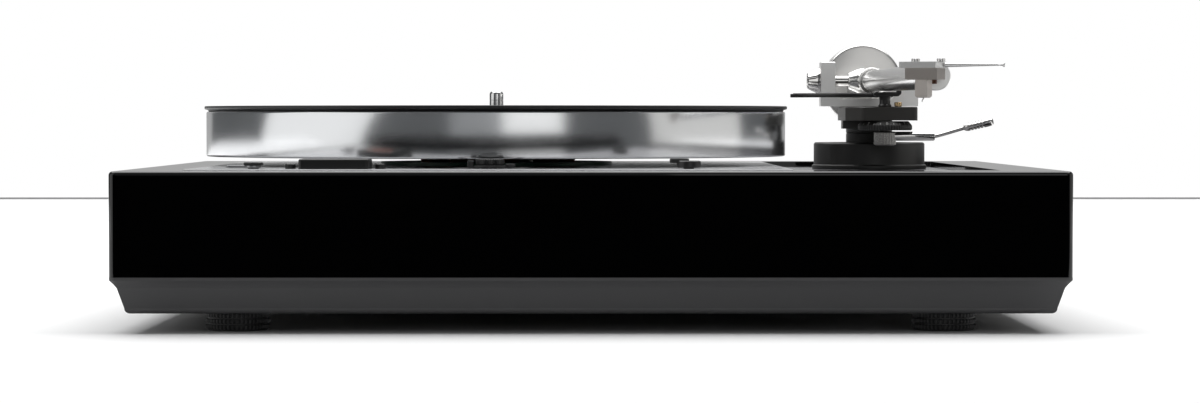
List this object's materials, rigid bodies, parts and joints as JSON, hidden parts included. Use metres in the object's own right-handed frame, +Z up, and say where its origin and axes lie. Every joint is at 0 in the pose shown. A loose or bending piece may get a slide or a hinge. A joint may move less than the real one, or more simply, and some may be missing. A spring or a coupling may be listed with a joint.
{
  "type": "turntable record player",
  "caption": "Direct-drive record player with a gloss black plinth, satin aluminium platter, rubber mat and a pivoted tonearm on its own board.",
  "frame": {"origin": "on the floor under the centre of the plinth", "axes": "+X right, +Y to the back, +Z up; the controls face -Y"},
  "size_m": [0.4444, 0.4, 0.1402],
  "materials": {
    "gloss_lacquer": "piano-gloss black lacquer over a board core",
    "skirt_plastic": "fine satin moulded plastic",
    "foot_metal": "black anodised, knurled",
    "zinc_steel": "zinc-plated",
    "isolator_rubber": "moulded",
    "chassis_paint": "light grey satin paint on cast aluminium",
    "armboard_paint": "mid grey satin paint",
    "frame_metal": "as cast",
    "platter_metal": "turned and satin finished",
    "mat_rubber": "matt",
    "polished_steel": "polished",
    "bronze": "sintered bronze",
    "circuit_board": "solder resist",
    "copper": "enamelled copper wire",
    "magnet": "sintered",
    "control_black": "satin black",
    "control_metal": "satin anodised",
    "scale_print": "brushed ring",
    "clear_window": "clear",
    "lamp": "diffuse",
    "arm_black": "satin black",
    "arm_metal": "polished",
    "dial_black": "satin",
    "chrome": "bright",
    "brass": "turned",
    "cartridge_champagne": "satin champagne grey",
    "stylus_white": "moulded",
    "pin_board_brown": "phenolic board"
  },
  "bodies": {
    "plinth": {"plinth_shell": "gloss_lacquer", "base_panel": "skirt_plastic", "base_screws": "zinc_steel", "support_rails": "zinc_steel", "chassis_isolators": "isolator_rubber", "chassis_frame": "frame_metal", "top_plate": "chassis_paint", "armboard": "armboard_paint", "chassis_screws": "zinc_steel", "bearing_housing": "polished_steel", "bearing_bushes": "bronze", "motor_stator": "copper", "strobe_housing": "control_black", "strobe_window": "clear_window", "strobe_lamp": "lamp", "strobe_screws": "control_black", "control_switches": "control_black", "speed_scale": "scale_print", "control_board": "circuit_board", "connector_plate": "chassis_paint", "phono_sockets": "bronze", "ground_post": "brass", "power_inlet": "control_black", "arm_base": "arm_black", "arm_base_nut": "zinc_steel"},
    "platter": {"platter": "platter_metal", "rotor_magnet": "magnet", "spindle": "polished_steel", "platter_mat": "mat_rubber"},
    "start_lever": {"start_lever": "control_metal"},
    "speed_lever": {"speed_lever": "control_black"},
    "pitch_knob": {"pitch_knob": "control_black"},
    "stop_lever": {"stop_lever": "control_black"},
    "arm_pillar": {"arm_column": "arm_black", "yaw_bearings": "polished_steel", "arm_block": "arm_black", "lift_housing": "arm_black", "arm_rest": "arm_black", "rest_thumbscrew": "brass"},
    "antiskate_dial": {"antiskate_dial": "dial_black"},
    "lift_bar": {"lift_bar": "arm_black"},
    "cue_lever": {"cue_shaft": "arm_black", "cue_grip": "chrome"},
    "arm_yoke": {"yoke": "arm_metal", "pivot_screws": "chrome"},
    "arm_wand": {"wand_hub": "arm_metal", "arm_tube": "arm_metal", "weight_shaft": "arm_metal", "headshell": "arm_metal", "cartridge_body": "cartridge_champagne", "stylus_holder": "stylus_white", "cartridge_screws": "polished_steel", "cantilever": "polished_steel", "pin_board": "pin_board_brown", "finger_lift": "chrome"},
    "counterweight": {"counterweight": "arm_metal"},
    "foot_front_left": {"foot_front_left": "foot_metal"},
    "foot_front_right": {"foot_front_right": "foot_metal"},
    "foot_rear_left": {"foot_rear_left": "foot_metal"},
    "foot_rear_right": {"foot_rear_right": "foot_metal"}
  },
  "joints": [
    {"name": "platter_spin", "type": "hinge", "parent": "plinth", "child": "platter", "pos_m": [-0.0492, 0.012, 0.08], "axis": [0, 0, 1], "continuous": true},
    {"name": "start_turn", "type": "hinge", "parent": "plinth", "child": "start_lever", "pos_m": [-0.16, -0.15, 0.076], "axis": [0, 0, 1], "range_deg": [-45, 0]},
    {"name": "speed_turn", "type": "hinge", "parent": "plinth", "child": "speed_lever", "pos_m": [-0.048, -0.1475, 0.076], "axis": [0, 0, 1], "range_deg": [-30, 30]},
    {"name": "pitch_turn", "type": "hinge", "parent": "plinth", "child": "pitch_knob", "pos_m": [-0.048, -0.1475, 0.078], "axis": [0, 0, 1], "range_deg": [-135, 135]},
    {"name": "stop_turn", "type": "hinge", "parent": "plinth", "child": "stop_lever", "pos_m": [0.0464, -0.15, 0.078], "axis": [0, 0, 1], "range_deg": [0, 45]},
    {"name": "arm_height", "type": "slide", "parent": "plinth", "child": "arm_pillar", "axis": [0, 0, 1], "range_m": [0, 0.006]},
    {"name": "antiskate_turn", "type": "hinge", "parent": "arm_pillar", "child": "antiskate_dial", "pos_m": [0.1556, 0.04222, 0.095], "axis": [0, 0, 1], "range_deg": [0, 270]},
    {"name": "arm_yaw", "type": "hinge", "parent": "arm_pillar", "child": "arm_yoke", "pos_m": [0.151, 0.09, 0.106], "axis": [0, 0, 1], "range_deg": [-58, 0]},
    {"name": "arm_lift", "type": "hinge", "parent": "arm_yoke", "child": "arm_wand", "pos_m": [0.151, 0.09, 0.1197], "axis": [-1, 0, 0], "range_deg": [0, 4.5]},
    {"name": "lift_bar_rise", "type": "slide", "parent": "arm_pillar", "child": "lift_bar", "axis": [0, 0, 1], "range_m": [0, 0.0038]},
    {"name": "cue_turn", "type": "hinge", "parent": "arm_pillar", "child": "cue_lever", "pos_m": [0.17, 0.04222, 0.09], "axis": [-1, 0, 0], "range_deg": [0, 60.1]},
    {"name": "weight_slide", "type": "slide", "parent": "arm_wand", "child": "counterweight", "axis": [0, 1, 0], "range_m": [-0.012, 0.004]},
    {"name": "foot_front_left_screw", "type": "slide", "parent": "plinth", "child": "foot_front_left", "axis": [0, 0, -1], "range_m": [0, 0.006]},
    {"name": "foot_front_right_screw", "type": "slide", "parent": "plinth", "child": "foot_front_right", "axis": [0, 0, -1], "range_m": [0, 0.006]},
    {"name": "foot_rear_left_screw", "type": "slide", "parent": "plinth", "child": "foot_rear_left", "axis": [0, 0, -1], "range_m": [0, 0.006]},
    {"name": "foot_rear_right_screw", "type": "slide", "parent": "plinth", "child": "foot_rear_right", "axis": [0, 0, -1], "range_m": [0, 0.006]}
  ],
  "couplings": [
    {"joint": "lift_bar_rise", "follows": "arm_lift", "m_per_rad": 0.048},
    {"joint": "cue_turn", "follows": "arm_lift", "ratio": 13.333}
  ]
}
